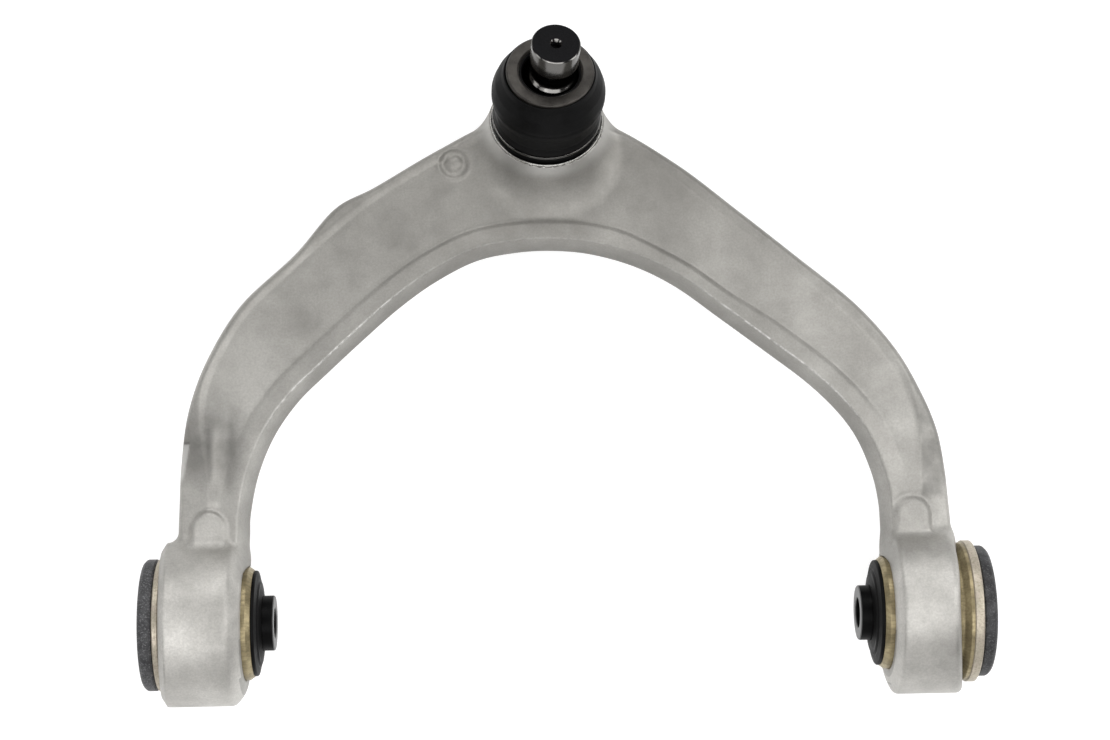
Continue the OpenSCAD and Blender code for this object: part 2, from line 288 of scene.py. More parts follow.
def outer_rim(x, y, rim):
    """The low rim along the outer edge, which turns into a falling flank on the legs."""
    right = right_share(x)
    in_leg = leg_share(y)
    low_left = (1 - right) * (1 - smoothstep(y, 95, 150))
    rise = 0.55 - 0.05 * right + 0.6 * low_left
    crest = 2.4 + 9.8 * in_leg
    foot = 6.2 + 8.0 * in_leg
    lip = (1 - smoothstep(rim, crest, foot)) * (1 - in_leg)
    crease = bump(rim, foot, 0.9) * (1 - in_leg)
    crease_depth = 0.22 * (0.5 + 0.5 * np.sin(0.11 * x + 0.9) + 0.8 * bump(x, -76, 22))
    flank_width = 3.2 + 9.6 * in_leg
    flank_depth = 0.8 + 3.2 * in_leg
    flank = flank_depth * np.clip(1 - rim / flank_width, 0, 3) ** 1.15
    return rise * lip - crease_depth * crease - flank


def inner_rim(x, y, web, inner):
    """The rim along the inner edge: a short steep step out of a crease, then a gentle slope."""
    edge = 4.3
    crease = 12.2 - 1.8 * within(x, 20, 45, 66, 92)
    step_share = (0.14 + 0.16 * smoothstep(y, 120, 152)) * smoothstep(y, 62, 96)
    step_up = smoothstep(crease + 1.0 - inner, 0, 3.2)
    slope = np.clip((crease - inner) / (crease - edge), 0, 1.6)
    rise = step_share * step_up + (1 - step_share) * slope
    groove = 0.6 * step_share * bump(inner, crease + 0.8, 1.9)
    return (INNER_RIM_HEIGHT - web) * rise - groove


def ejector_dish(x, y):
    """A soft round mark: a ring-shaped hollow with a low button in its middle."""
    r = np.hypot(x - EJECTOR_MARK[0], y - EJECTOR_MARK[1])
    button = 0.75 * bump(r, 0, 2.4)
    hollow = 0.85 * bump(r, 4.4, 1.3)
    brim = 0.35 * bump(r, 6.7, 0.9)
    return button - hollow + brim


def blade_height(x, y, rim, inner):
    """Height of the arch's surface above the parting plane."""
    leg_height = LEFT_LEG_HEIGHT + (RIGHT_LEG_HEIGHT - LEFT_LEG_HEIGHT) * right_share(x)
    web = WEB_HEIGHT + (leg_height - WEB_HEIGHT) * leg_share(y)
    height = web + outer_rim(x, y, rim) + inner_rim(x, y, web, inner) + ejector_dish(x, y)
    ridge = 0.8 * bump(x, -146, 1.8) * within(y, 54, 62, 72, 88)
    dip = 1.3 * bump(x, -140, 3.0) * within(y, 48, 60, 74, 92)
    return height + ridge - dip


def plan_distance_to_pad(x, y, at):
    """Distance in plan to a pad that has a round end and runs down to its housing."""
    return np.hypot(x - at[0], np.maximum(y - at[1], 0)) - PAD_RADIUS


def ground_facet(x, y, z):
    """The plane of a ground patch on the left leg, which runs out downwards."""
    return -0.84 * x + 0.106 * y + 0.54 * z - 143.2


def ground(solid, x, y, z):
    """The blade less the two patches that are ground off the left leg's outer edge."""
    past_facet_end = y - 75
    solid = np.maximum(solid, np.minimum(ground_facet(x, y, z), -past_facet_end))
    soft_facet = -0.86 * (x + 160.3) + 0.5 * (z - 4.4)
    past_soft_facet = np.maximum(y - 59, 47 - y)
    return np.maximum(solid, np.minimum(soft_facet, -0.4 * past_soft_facet))


def blade(x, y, z, fields):
    """The arch: its surface, and walls that lean in towards the top, mirrored below."""
    outer, rim, inner = fields.look_up(x, y)
    height = blade_height(x, y, rim, inner)
    for at, ditch_depth in ((LEFT_PAD, 0.3), (RIGHT_PAD, 0.6)):
        height = height - ditch_depth * bump(plan_distance_to_pad(x, y, at), 1.8, 1.8)
    up = np.abs(z)
    steepness = 0.92
    top = steepness * (up - height)
    outer_wall = 2.4 * (up / 11) ** 1.5 - outer
    inner_wall = 3.9 * (up / 10.8) ** 1.25 - inner
    solid = shared(top, outer_wall, 1.6)
    solid = shared(solid, inner_wall, 0.7)
    solid = ground(solid, x, y, z)
    foot = 21
    return shared(solid, foot - y, 1)


def pads(x, y, z):
    """The two pads beside the housings."""
    far_away = 50.0
    result = np.full(x.shape, far_away)
    for at, end in ((LEFT_PAD, 26), (RIGHT_PAD, 34.8)):
        side = np.maximum(plan_distance_to_pad(x, y, at), end - y)
        pad = shared(shared(side, z - PAD_TOP, 1.4), -z, 0.5)
        result = np.minimum(result, pad)
    return result


def housing(x, y, z):
    """Both bush housings, each with a long fall on its inboard rim and a drafted outboard face.

    The left one has a bevel on its outboard edge. The right one's outboard face falls off
    on the side towards the arch.
    """
    r = np.hypot(y, z)
    along = np.abs(x)
    left = x < 0
    fall = np.where(left, 4.8, 2.6) * np.clip((r - 25.6) / 8.4, 0, 1.3) ** 2
    inboard = 0.8 * (HOUSING_INBOARD + fall - along)
    draft = np.where(left, LEFT_DRAFT, RIGHT_DRAFT) * np.abs(z) / 35
    corner_fall = np.where(left, 0, 2.6 * np.clip((y - 12) / 20, 0, 1.2) ** 2)
    outboard = along + draft + corner_fall - np.where(left, LEFT_OUTBOARD, RIGHT_OUTBOARD)
    edge_round = np.where(left, 0.7, 2.8)
    solid = shared(r - HOUSING_RADIUS, outboard, edge_round)
    bevel = 0.53 * (r - HOUSING_RADIUS) + 0.848 * (outboard + 2.4)
    no_bevel = -9
    solid = shared(solid, np.where(left, bevel, no_bevel), 0.4)
    return shared(solid, inboard, 0.9)


def ball_joint_axes(x, y, z):
    """(radius from the ball joint's axis, distance along it from the ball's centre)."""
    tilt = math.radians(JOINT_TILT)
    dx = x - BALL_CENTRE[0]
    dy = y - BALL_CENTRE[1]
    dz = z - BALL_CENTRE[2]
    along = dy * math.sin(tilt) + dz * math.cos(tilt)
    across = dy * math.cos(tilt) - dz * math.sin(tilt)
    return np.hypot(dx, across), along


def ball_joint_front(x, y, z):
    """How far a point is in front of the ball joint's axis, towards the bushes."""
    tilt = math.radians(JOINT_TILT)
    return (z - BALL_CENTRE[2]) * math.sin(tilt) - (y - BALL_CENTRE[1]) * math.cos(tilt)


def joint_boss(x, y, z):
    """The boss round the joint, necked in at its top."""
    r, along = ball_joint_axes(x, y, z)
    neck = 0.035 * np.clip(along - 5.5, 0, 8) ** 2
    steepness = 0.96
    wall = shared(steepness * (r - BOSS_RADIUS + neck), BOSS_BOTTOM - along, 1.6)
    return shared(wall, along - BOSS_TOP, 0.4)


def forging(x, y, z, fields):
    """Distance to the whole forging, above 0 outside it."""
    solid = joined(blade(x, y, z, fields), pads(x, y, z), 2.4)
    solid = joined(solid, housing(x, y, z), 4.2)
    flare = 6 + 6 * smoothstep(ball_joint_front(x, y, z), 0, 22.5)
    solid = joined(solid, joint_boss(x, y, z), flare)
    from_bush_axis = np.hypot(y, z)
    clear_of_arch = 120
    bore = np.maximum(from_bush_axis - BUSH_BORE_RADIUS, clear_of_arch - np.abs(x))
    spot_face = np.maximum(from_bush_axis - SPOT_FACE_RADIUS, x + LEFT_FLANGE_SEAT)
    solid = cut(solid, np.minimum(bore, spot_face), 0.35)
    r, along = ball_joint_axes(x, y, z)
    recess = np.maximum(r - RECESS_RADIUS, RECESS_FLOOR - along)
    shell_bore = np.maximum(r - SHELL_RADIUS, SHELL_BOTTOM - along)
    cover_seat = np.maximum(r - COVER_RADIUS, along - COVER_TOP)
    return cut(solid, np.minimum(np.minimum(recess, shell_bore), cover_seat), 0.2)


def forging_grid(step, fields):
    """The forging as quads from a grid of this step: (points in mm, corners of each quad)."""
    low = np.array([-170.0, -36.5, -36.5])
    high = np.array([167.0, 234.0, 36.5])
    counts = np.ceil((high - low) / step).astype(int) + 1
    x, y, z = [low[axis] + step * np.arange(counts[axis]) for axis in range(3)]
    values = np.empty(tuple(counts), np.float32)
    gx, gy = np.meshgrid(x, y, indexing="ij")
    for k, level in enumerate(z):
        values[:, :, k] = forging(gx, gy, np.full(gx.shape, level), fields)
    steps_kept = 3.0
    grid = openvdb.FloatGrid(steps_kept)
    grid.copyFromArray(np.clip(values / step, -steps_kept, steps_kept))
    points, quads = grid.convertToQuads(isovalue=0.0)
    return low + step * points.astype(float), quads


def forging_normals(points, fields):
    """(direction, steepness) of the forging's distance at each point."""
    reach = 0.3
    slope = np.empty(points.shape)
    for axis in range(3):
        shift = np.zeros(3)
        shift[axis] = reach
        ahead = forging(*(points + shift).T, fields)
        behind = forging(*(points - shift).T, fields)
        slope[:, axis] = (ahead - behind) / (2 * reach)
    steepness = np.maximum(np.linalg.norm(slope, axis=1), 0.2)
    return slope / steepness[:, None], steepness


def forging_mesh(step):
    """The forging's (points in mm, quads, normals, marks), with the points on its surface."""
    fields = EdgeFields(min(step, 0.7))
    points, quads = forging_grid(step, fields)
    longest_move = 0.4
    for _ in range(3):
        normals, steepness = forging_normals(points, fields)
        move = forging(*points.T, fields) / steepness
        points = points - normals * np.clip(move, -longest_move, longest_move)[:, None]
    normals = forging_normals(points, fields)[0]
    corner = points[quads]
    facing = np.cross(corner[:, 2] - corner[:, 0], corner[:, 3] - corner[:, 1])
    if (facing * normals[quads[:, 0]]).sum() < 0:
        quads = quads[:, ::-1]
    marks = {
        "from_inner_edge": fields.look_up(points[:, 0], points[:, 1])[2],
        "painted_edge_highlight": painted_edge_highlight(points),
        "ground_patch_and_painted_boss_light": ground_patch_and_painted_boss_light(points),
        "painted_leg_shade": painted_leg_shade(points),
    }
    return points, quads, normals, marks


def ground_patch_and_painted_boss_light(points):
    """How bright the skin is made: the ground patch on the left leg, and painted light round the
    boss's top.
    """
    x, y, z = points.T
    facet = bump(ground_facet(x, y, z), 0, 0.3) * (z > 0) * within(y, 57, 62, 74, 75.2)
    r, along = ball_joint_axes(x, y, z)
    # Painted light: a lighter halo round the top of the boss, towards its front.
    boss = smoothstep(along, 3, 10) * smoothstep(ball_joint_front(x, y, z), -12, 4)
    return 0.35 * facet + 0.30 * boss


def painted_edge_highlight(points):
    """Strength of the highlight painted along the inner rim's edge, strongest part way down each
    side of the arch.
    """
    x, y, z = points.T
    along = 0.12 + 0.7 * within(np.abs(x), 50, 85, 112, 130)
    return along * smoothstep(y, 66, 80) * smoothstep(z, 5, 8)


def painted_leg_shade(points):
    """Where shade is painted on the upper side of the legs: over the left leg and in its hollow,
    lighter on its crest, and on the right leg's outboard flank.
    """
    x, y, z = points.T
    left = 0.9 * np.exp(-(((x + 147) / 13.5) ** 4)) * bump(y, 75, 15)
    crest = bump(x, 0.08 * (y - 70) - 145.4, 2.0) * within(y, 56, 62, 76, 84)
    left = left * (1 - 0.55 * crest)
    hollow = 0.7 * bump(x, -140.5, 3.6) * bump(y, 67, 11)
    border = 148 - 0.0053 * np.clip(y - 62, 0, 50) ** 2
    fade = 0.8 + 0.04 * (y - 50)
    right = smoothstep(x, border - 0.6, border + fade) * (1 - smoothstep(x, 155, 160))
    right = 0.7 * right * within(y, 46, 50, 74, 112)
    upper_side = z > 2
    return np.clip(np.maximum(np.maximum(left, hollow), right), 0, 1) * upper_side


# ---------------------------------------------------------------- mesh helpers

def new_object(name, mesh, materials):
    """A piece made from a mesh, with its materials."""
    piece = bpy.data.objects.new(name, mesh)
    bpy.context.scene.collection.objects.link(piece)
    for material in materials:
        mesh.materials.append(material)
    return piece


def on_bush(side):
    """Turns (x, y, z) in mm, with z along a bush, into metres in the object's frame."""
    if side > 0:
        turn = Matrix(((0, 0, 1), (1, 0, 0), (0, 1, 0)))
    else:
        turn = Matrix(((0, 0, -1), (0, 1, 0), (1, 0, 0)))
    return Matrix.Scale(MM, 4) @ turn.to_4x4()


def on_ball(lean=0.0):
    """Turns (x, y, z) in mm, with z along the ball joint, into metres in the object's frame."""
    place = Matrix.Translation(Vector(BALL_CENTRE))
    place = place @ Matrix.Rotation(math.radians(-JOINT_TILT), 4, "X")
    place = place @ Matrix.Rotation(math.radians(lean), 4, "Y")
    return Matrix.Scale(MM, 4) @ place


def rounded(corners, steps=4):
    """A closed outline from corners (radius, height, rounding), each rounded off by an arc."""
    nearly_straight = 1.55
    outline = []
    count = len(corners)
    for k, (r, s, rounding) in enumerate(corners):
        here = np.array([r, s], float)
        back = np.array(corners[k - 1][:2], float) - here
        ahead = np.array(corners[(k + 1) % count][:2], float) - here
        back_length = np.linalg.norm(back)
        ahead_length = np.linalg.norm(ahead)
        back = back / back_length
        ahead = ahead / ahead_length
        half = 0.5 * math.acos(max(-1, min(1, float(back @ ahead))))
        if rounding <= 0 or half > nearly_straight:
            outline.append(tuple(here))
            continue
        reach = min(rounding / math.tan(half), 0.49 * back_length, 0.49 * ahead_length)
        radius = reach * math.tan(half)
        middle = here + (back + ahead) / np.linalg.norm(back + ahead) * radius / math.sin(half)
        first = here + back * reach
        last = here + ahead * reach
        a0 = math.atan2(*(first - middle)[::-1])
        a1 = math.atan2(*(last - middle)[::-1])
        turn = (a1 - a0 + math.pi) % (2 * math.pi) - math.pi
        for step in range(steps + 1):
            a = a0 + turn * step / steps
            outline.append((middle[0] + radius * math.cos(a), middle[1] + radius * math.sin(a)))
    return outline


def lathe(name, outline, place, materials, paint=None, closed=True):
    """Turns an outline of (radius, height) round its axis.

    paint(radius, height) picks a material for each band.
    """
    around = 144
    vertices = []
    rows = len(outline)
    for k in range(around):
        a = 2 * math.pi * k / around
        for r, s in outline:
            vertices.append(place @ Vector((r * math.cos(a), r * math.sin(a), s)))
    faces = []
    paints = []
    bands = rows if closed else rows - 1
    for k in range(around):
        first = k * rows
        second = ((k + 1) % around) * rows
        for band in range(bands):
            after = (band + 1) % rows
            faces.append((first + band, second + band, second + after, first + after))
            if paint is not None:
                r = 0.5 * (outline[band][0] + outline[after][0])
                s = 0.5 * (outline[band][1] + outline[after][1])
                paints.append(paint(r, s))
    mesh = bpy.data.meshes.new(name)
    mesh.from_pydata(vertices, [], faces)
    if paint is not None:
        mesh.polygons.foreach_set("material_index", paints)
    mesh.validate()
    clean_mesh(mesh)
    return new_object(name, mesh, materials)


def clean_mesh(mesh):
    """Joins points that meet on the axis, and makes all faces look outwards."""
    work = bmesh.new()
    work.from_mesh(mesh)
    bmesh.ops.remove_doubles(work, verts=work.verts, dist=1e-6)
    bmesh.ops.dissolve_degenerate(work, edges=work.edges, dist=1e-7)
    bmesh.ops.recalc_face_normals(work, faces=work.faces)
    work.to_mesh(mesh)
    work.free()
    mesh.shade_smooth()
    mesh.set_sharp_from_angle(angle=math.radians(38))


# ---------------------------------------------------------------- material helpers

class Finish:
    """A material round one Principled shader, with short ways to add procedural detail."""

    def __init__(self, name, colour, metallic, roughness, **inputs):
        self.material = bpy.data.materials.new(name)
        self.material.use_nodes = True
        self.tree = self.material.node_tree
        self.shader = self.tree.nodes["Principled BSDF"]
        self.shader.inputs["Base Color"].default_value = (*colour, 1)
        self.shader.inputs["Metallic"].default_value = metallic
        self.shader.inputs["Roughness"].default_value = roughness
        for socket, value in inputs.items():
            self.shader.inputs[socket.replace("_", " ")].default_value = value
        self.material.diffuse_color = (*colour, 1)
        self.place = self.add("ShaderNodeTexCoord").outputs["Object"]

    def add(self, kind, **settings):
        node = self.tree.nodes.new(kind)
        for key, value in settings.items():
            setattr(node, key, value)
        return node

    def link(self, output, socket):
        self.tree.links.new(output, socket)

    def stretched(self, scale):
        """The object's own coordinates, scaled along each axis."""
        node = self.add("ShaderNodeMapping")
        node.inputs["Scale"].default_value = scale
        self.link(self.place, node.inputs["Vector"])
        return node.outputs["Vector"]

    def noise(self, size, detail=3.0, roughness=0.55, along=None):
        """Cloudy noise whose blobs are about size mm across."""
        node = self.add("ShaderNodeTexNoise")
        node.inputs["Scale"].default_value = 1 / (size * MM)
        node.inputs["Detail"].default_value = detail
        node.inputs["Roughness"].default_value = roughness
        self.link(along or self.place, node.inputs["Vector"])
        return node.outputs["Fac"]

    def spread(self, source, low, high, to_low=0.0, to_high=1.0):
        """The source, with the span from low to high turned into to_low to to_high."""
        node = self.add("ShaderNodeMapRange")
        node.inputs["From Min"].default_value = low
        node.inputs["From Max"].default_value = high
        node.inputs["To Min"].default_value = to_low
        node.inputs["To Max"].default_value = to_high
        self.link(source, node.inputs["Value"])
        return node.outputs["Result"]

    def maths(self, operation, *values):
        node = self.add("ShaderNodeMath", operation=operation)
        for socket, value in zip(node.inputs, values):
            if isinstance(value, (int, float)):
                socket.default_value = value
            else:
                self.link(value, socket)
        return node.outputs["Value"]

    def mix(self, factor, a, b):
        """A colour between a and b, each a colour or another node's output."""
        node = self.add("ShaderNodeMix", data_type="RGBA")
        self.link(factor, node.inputs["Factor"])
        # An RGBA mix has its two colours at sockets 6 and 7 and its result at socket 2
        for socket, value in ((node.inputs[6], a), (node.inputs[7], b)):
            if isinstance(value, tuple):
                socket.default_value = (*value, 1)
            else:
                self.link(value, socket)
        return node.outputs[2]

    def colour(self, output):
        self.link(output, self.shader.inputs["Base Color"])

    def rough(self, output):
        self.link(output, self.shader.inputs["Roughness"])

    def bumps(self, *layers):
        """Adds (height output, depth in mm) layers of relief, one on the other."""
        normal = None
        for height, depth in layers:
            node = self.add("ShaderNodeBump")
            node.inputs["Strength"].default_value = 1.0
            node.inputs["Distance"].default_value = depth * MM
            self.link(height, node.inputs["Height"])
            if normal is not None:
                self.link(normal, node.inputs["Normal"])
            normal = node.outputs["Normal"]
        self.link(normal, self.shader.inputs["Normal"])

    def attribute(self, name):
        """A value that the mesh carries at each of its points."""
        return self.add("ShaderNodeAttribute", attribute_name=name).outputs["Fac"]

    def axis(self, name):
        """One of the object's own coordinates, in metres."""
        node = self.add("ShaderNodeSeparateXYZ")
        self.link(self.place, node.inputs["Vector"])
        return node.outputs[name]


# ---------------------------------------------------------------- materials

def forged_aluminium():
    """Blasted forging: matt warm grey, cloudy and fine grained, with painted light and shade."""
    finish = Finish("forged_aluminium", (0.32, 0.31, 0.285), 0.85, 0.50)
    clouds = finish.noise(30, 5, 0.6)
    blotches = finish.noise(8, 5, 0.6)
    grain = finish.noise(0.9, 3, 0.7)
    # Painted light: the colour grows lighter towards the housings, where more light falls on the
    # arm.
    painted_light_towards_housings = finish.spread(finish.axis("Y"), 0.19, 0.0)
    dark = finish.mix(painted_light_towards_housings, (0.25, 0.242, 0.224), (0.40, 0.389, 0.366))
    light = finish.mix(painted_light_towards_housings, (0.35, 0.340, 0.317), (0.64, 0.626, 0.594))
    base = finish.mix(finish.spread(clouds, 0.35, 0.65), dark, light)
    base = finish.mix(finish.spread(blotches, 0.35, 0.7, 0.0, 0.35), base, light)
    base = finish.mix(finish.spread(grain, 0.35, 0.65, 0.0, 0.22), base, (0.17, 0.165, 0.155))
    # Painted shade on the legs, broken into patches.
    patches = finish.spread(blotches, 0.3, 0.7, 0.55, 0.95)
    patchy = finish.maths("MULTIPLY", finish.attribute("painted_leg_shade"), patches)
    base = finish.mix(patchy, base, (0.15, 0.147, 0.137))
    # Painted shade on the inner wall, darkest at the parting line.
    inner_wall_painted_shade = finish.spread(finish.attribute("from_inner_edge"), 3.9, 0.5, 0.0, 0.42)
    base = finish.mix(inner_wall_painted_shade, base, (0.16, 0.156, 0.146))
    # Painted highlight along the inner rim's edge, broken up by noise.
    off_edge = finish.maths("SUBTRACT", finish.attribute("from_inner_edge"), 4.1)
    on_edge = finish.spread(finish.maths("ABSOLUTE", off_edge), 0.45, 0.1)
    broken = finish.spread(finish.noise(2.5, 3, 0.6), 0.40, 0.60, 0.15, 1.0)
    worn = finish.maths("MULTIPLY", on_edge, finish.attribute("painted_edge_highlight"))
    worn = finish.maths("MULTIPLY", worn, broken)
    # Lightens the ground patch, and adds the painted light round the boss's top and the painted
    # highlight on the rim's edge.
    ground_patch_and_painted_highlights = finish.maths("ADD", finish.attribute("ground_patch_and_painted_boss_light"), worn)
    base = finish.mix(ground_patch_and_painted_highlights, base, (0.80, 0.79, 0.77))
    finish.colour(base)
    matt = finish.spread(blotches, 0.3, 0.7, 0.52, 0.66)
    finish.rough(finish.maths("SUBTRACT", matt, finish.maths("MULTIPLY", ground_patch_and_painted_highlights, 0.2)))
    finish.bumps((clouds, 0.25), (blotches, 0.12), (grain, 0.035))
    return finish.material


def machined_aluminium():
    """Turned aluminium: bright, with fine tool lines round the joint."""
    finish = Finish("machined_aluminium", (0.62, 0.61, 0.58), 0.95, 0.28)
    streaks = finish.noise(0.5, 3, 0.6)
    finish.colour(finish.mix(streaks, (0.55, 0.54, 0.51), (0.72, 0.71, 0.68)))
    finish.rough(finish.spread(streaks, 0.3, 0.7, 0.22, 0.36))
    finish.bumps((streaks, 0.01))
    return finish.material


def yellow_zinc():
    """Yellow-passivated zinc plate: olive gold, faintly ribbed along the bush."""
    finish = Finish("yellow_zinc", (0.42, 0.35, 0.20), 0.65, 0.40)
    ribs = finish.noise(1.1, 3, 0.6, finish.stretched((0.25, 1, 1)))
    clouds = finish.noise(6, 4)
    patches = finish.spread(clouds, 0.35, 0.65)
    base = finish.mix(patches, (0.25, 0.205, 0.115), (0.42, 0.35, 0.205))
    base = finish.mix(finish.spread(ribs, 0.35, 0.7, 0, 0.5), base, (0.11, 0.09, 0.05))
    finish.colour(base)
    finish.rough(finish.spread(ribs, 0.3, 0.7, 0.34, 0.52))
    finish.bumps((ribs, 0.08))
    return finish.material


def worn_zinc():
    """The flanges' rims, where the plating is thin: pale khaki with a pinkish cloud."""
    finish = Finish("worn_zinc", (0.40, 0.36, 0.28), 0.7, 0.45)
    grain = finish.noise(0.9, 4, 0.7)
    clouds = finish.noise(9, 3)
    patches = finish.spread(clouds, 0.35, 0.65)
    base = finish.mix(patches, (0.46, 0.425, 0.335), (0.50, 0.44, 0.365))
    finish.colour(finish.mix(finish.spread(grain, 0.45, 0.7, 0, 0.6), base, (0.20, 0.17, 0.12)))
    finish.rough(finish.spread(grain, 0.3, 0.7, 0.38, 0.55))
    finish.bumps((grain, 0.06))
    return finish.material


def black_rubber(name="black_rubber", level=0.003):
    """Moulded rubber: black, faintly dusty, with a fine leathery skin."""
    finish = Finish(name, (level, level, level * 1.05), 0.0, 0.48, Specular_IOR_Level=0.07)
    dust = finish.noise(9, 5, 0.6)
    skin = finish.noise(0.7, 3, 0.6)
    dusty = (level * 2.6, level * 2.6, level * 2.7)
    finish.colour(finish.mix(finish.spread(dust, 0.4, 0.8, 0, 0.8), (level, level, level), dusty))
    finish.rough(finish.spread(dust, 0.3, 0.7, 0.42, 0.60))
    finish.bumps((skin, 0.03), (dust, 0.12))
    return finish.material


def speckled_rubber(name, dust):
    """A stop ring's rubber: dark grey, with pale specks that dust makes denser."""
    finish = Finish(name, (0.05, 0.05, 0.052), 0.0, 0.55, Specular_IOR_Level=0.3)
    specks = finish.noise(0.8, 2, 0.7)
    clouds = finish.noise(5, 4)
    patches = finish.spread(clouds, 0.35, 0.7)
    base = finish.mix(patches, (0.030, 0.030, 0.032), (0.075, 0.075, 0.078))
    base = finish.mix(finish.spread(specks, 0.52, 0.68, 0, 0.6), base, (0.22, 0.22, 0.225))
    clean = 1 - dust
    wiped = finish.spread(clouds, 0.3, 0.6, clean, 0.6 * clean)
    finish.colour(finish.mix(wiped, base, (0.01, 0.01, 0.01)))
    finish.bumps((specks, 0.06))
    return finish.material


def black_steel():
    """Phosphated steel of the inner sleeves: black with a dull sheen."""
    finish = Finish("black_steel", (0.002, 0.002, 0.002), 0.0, 0.42, Specular_IOR_Level=0.06)
    clouds = finish.noise(5, 4)
    finish.colour(finish.mix(clouds, (0.0015, 0.0015, 0.0018), (0.004, 0.004, 0.004)))
    finish.rough(finish.spread(clouds, 0.3, 0.7, 0.36, 0.52))
    finish.bumps((finish.noise(0.6, 2), 0.02))
    return finish.material


def machined_steel():
    """The cut end faces of the inner sleeves: dark grey steel with fine turning lines."""
    finish = Finish("machined_steel", (0.07, 0.07, 0.07), 0.2, 0.45, Specular_IOR_Level=0.2)
    lines = finish.noise(0.5, 3)
    finish.colour(finish.mix(lines, (0.05, 0.05, 0.05), (0.09, 0.09, 0.09)))
    finish.rough(finish.spread(lines, 0.3, 0.7, 0.28, 0.42))
    finish.bumps((lines, 0.01))
    return finish.material


def ring_steel():
    """The boot's steel ring: dull brownish grey, with worn patches."""
    finish = Finish("ring_steel", (0.09, 0.082, 0.075), 0.8, 0.42)
    clouds = finish.noise(6, 4)
    fine = finish.noise(0.8, 4, 0.7)
    patches = finish.spread(clouds, 0.35, 0.65)
    base = finish.mix(patches, (0.033, 0.030, 0.027), (0.062, 0.057, 0.051))
    finish.colour(finish.mix(finish.spread(fine, 0.4, 0.7, 0, 0.4), base, (0.08, 0.075, 0.07)))
    finish.rough(finish.spread(fine, 0.3, 0.7, 0.36, 0.52))
    finish.bumps((fine, 0.02))
    return finish.material


def polished_steel():
    """The stud's ground pin: bright, with faint grinding lines."""
    finish = Finish("polished_steel", (0.16, 0.155, 0.15), 1.0, 0.18)
    lines = finish.noise(0.6, 3, 0.5)
    finish.colour(finish.mix(lines, (0.10, 0.097, 0.092), (0.16, 0.156, 0.15)))
    finish.rough(finish.spread(lines, 0.3, 0.7, 0.12, 0.22))
    finish.bumps((lines, 0.006))
    return finish.material


def black_oxide():
    """The stud's end face: blackened steel with a dull grain."""
    finish = Finish("black_oxide", (0.008, 0.008, 0.009), 0.0, 0.50, Specular_IOR_Level=0.06)
    grain = finish.noise(0.6, 4, 0.7)
    patches = finish.spread(grain, 0.35, 0.7)
    finish.colour(finish.mix(patches, (0.003, 0.003, 0.0035), (0.009, 0.009, 0.010)))
    finish.rough(finish.spread(grain, 0.3, 0.7, 0.42, 0.60))
    finish.bumps((grain, 0.03))
    return finish.material


def dark_plate():
    """Pressed dark steel of the cover and stop plates."""
    finish = Finish("dark_plate", (0.07, 0.066, 0.062), 0.7, 0.46)
    clouds = finish.noise(5, 4)
    finish.colour(finish.mix(clouds, (0.05, 0.048, 0.045), (0.10, 0.095, 0.088)))
    finish.bumps((clouds, 0.05))
    return finish.material


def bearing_polymer():
    """The bearing shell: pale moulded plastic."""
    finish = Finish("bearing_polymer", (0.68, 0.66, 0.60), 0.0, 0.45)
    clouds = finish.noise(4, 3)
    finish.colour(finish.mix(clouds, (0.62, 0.60, 0.54), (0.74, 0.72, 0.66)))
    finish.bumps((clouds, 0.02))
    return finish.material


aluminium = forged_aluminium()
bright_aluminium = machined_aluminium()
zinc = yellow_zinc()
pale_zinc = worn_zinc()
rubber = black_rubber()
boot_rubber = black_rubber("boot_rubber", 0.0035)
stop_rubber = {
    -1: speckled_rubber("speckled_rubber", 1.0),
    1: speckled_rubber("black_stop_rubber", 0.45),
}
sleeve_steel = black_steel()
cut_steel = machined_steel()
dull_ring = ring_steel()
polished = polished_steel()
oxide = black_oxide()
plate_steel = dark_plate()
polymer = bearing_polymer()


# ---------------------------------------------------------------- the forging as a piece

def make_forging():
    step = 0.8
    points, quads, normals, marks = forging_mesh(step)
    mesh = bpy.data.meshes.new("arm_forging")
    mesh.from_pydata(points * MM, [], quads)
    mesh.shade_smooth()
    mesh.normals_split_custom_set_from_vertices(normals)
    for name, values in marks.items():
        mesh.attributes.new(name, "FLOAT", "POINT").data.foreach_set("value", values)
    piece = new_object("arm_forging", mesh, [aluminium])
    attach(piece, "arm")
    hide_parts("control_arm")


def make_joint_seat():
    """The turned cup at the top of the boss, which the boot sits in."""
    outline = rounded(
        [
            (15.7, 8.0, 0.2),
            (15.7, 9.0, 0.3),
            (23.1, 9.0, 0.5),
            (23.1, 12.0, 0.15),
            (23.5, 12.0, 0.15),
            (23.6, 10.6, 0.1),
            (23.6, 8.0, 0.1),
        ]
    )
    piece = lathe("joint_seat", outline, on_ball(), [bright_aluminium])
    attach(piece, "arm")
    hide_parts("control_arm")


def make_rolled_lip():
    """The lip that is rolled over the cover plate, under the boss."""
    outline = rounded(
        [
            (19.05, -14.1, 0.1),
            (19.05, -16.2, 0.2),
            (17.9, -16.5, 0.3),
            (18.2, -17.3, 0.5),
            (20.4, -17.5, 0.8),
            (21.0, -16.6, 0.4),
            (21.0, -14.1, 0.1),
        ]
    )
    piece = lathe("rolled_lip", outline, on_ball(), [bright_aluminium])
    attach(piece, "arm")
    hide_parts("control_arm")


make_forging()
make_joint_seat()
make_rolled_lip()


# ---------------------------------------------------------------- bushes

SLEEVE_BODY = {-1: "left_sleeve", 1: "right_sleeve"}


def flange_rim(radius, height):
    """1 on the rim of an outer sleeve's flange, where the plating is worn."""
    return int(height > 165.3 and radius > 26.5)


